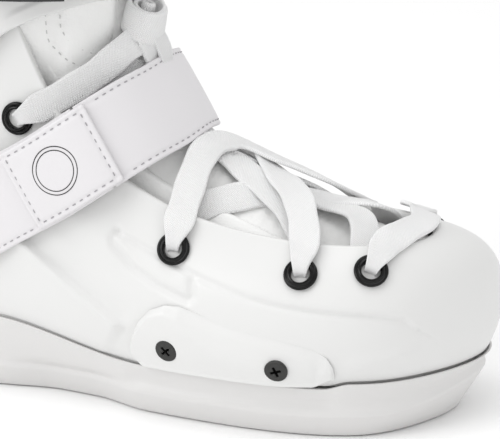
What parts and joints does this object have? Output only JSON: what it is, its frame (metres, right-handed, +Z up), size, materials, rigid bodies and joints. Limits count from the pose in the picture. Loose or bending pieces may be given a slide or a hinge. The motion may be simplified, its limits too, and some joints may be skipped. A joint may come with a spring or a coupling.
{
  "type": "street skate boot",
  "caption": "White hard shell street skate boot for the right foot: sole plate, pivoting cuff with ratchet buckle, 45 degree strap, flat lace and padded liner.",
  "frame": {"origin": "middle of the flat face under the sole plate, half way between the two frame bolts", "axes": "+X to the toe, +Z up, +Y to the inner side of the foot"},
  "size_m": [0.3049, 0.1209, 0.283],
  "materials": {
    "white_plastic": "satin moulded plastic",
    "sole_plastic": "satin moulded plastic, slightly greyer",
    "white_leatherette": "smooth coated synthetic leather",
    "white_textile": "padded textile",
    "white_lace": "flat braided polyester",
    "dark_steel": "dark oxide finish",
    "black_gloss": "glossy black",
    "grey_foam": "foam"
  },
  "bodies": {
    "boot": {"shell": "white_plastic", "side_plate_outer": "white_plastic", "side_plate_inner": "white_plastic", "sole_plate": "sole_plastic", "strap_anchor_band": "white_leatherette", "strap_instep_band": "white_leatherette", "liner_foot": "white_textile", "tongue": "white_textile", "lace": "white_lace", "frame_nut_front": "dark_steel", "frame_nut_rear": "dark_steel", "plate_screw_outer_1": "dark_steel", "plate_screw_outer_2": "dark_steel", "plate_screw_inner_1": "dark_steel", "plate_screw_inner_2": "dark_steel", "pivot_bolt_outer": "dark_steel", "pivot_nut_outer": "dark_steel", "pivot_bolt_inner": "dark_steel", "pivot_nut_inner": "dark_steel", "strap_rivet_outer": "dark_steel", "strap_rivet_inner": "dark_steel", "eyelet_outer_1": "black_gloss", "eyelet_outer_2": "black_gloss", "eyelet_outer_3": "black_gloss", "eyelet_outer_4": "black_gloss", "eyelet_inner_1": "black_gloss", "eyelet_inner_2": "black_gloss", "eyelet_inner_3": "black_gloss", "eyelet_inner_4": "black_gloss", "shock_pad": "grey_foam", "insole": "grey_foam"},
    "cuff": {"cuff": "white_plastic", "liner_shaft": "white_textile", "pull_loop": "white_textile", "buckle_base": "black_gloss", "buckle_pin": "dark_steel", "ladder_strap": "black_gloss", "ladder_rivet": "dark_steel"},
    "buckle_lever": {"buckle_lever": "black_gloss"},
    "strap_tail": {"strap_end_patch": "white_leatherette"}
  },
  "joints": [
    {"name": "cuff_flex", "type": "hinge", "parent": "boot", "child": "cuff", "pos_m": [-0.092, 0, 0.118], "axis": [0, 1, 0], "range_deg": [0, 10]},
    {"name": "lever_hinge", "type": "hinge", "parent": "cuff", "child": "buckle_lever", "pos_m": [-0.04808, -0.05547, 0.191], "axis": [0, 0, -1], "range_deg": [0, 100]},
    {"name": "strap_peel", "type": "hinge", "parent": "boot", "child": "strap_tail", "pos_m": [-0.00521, -0.04488, 0.1192], "axis": [-0.5201, 0, 0.8541], "range_deg": [0, 95]}
  ]
}
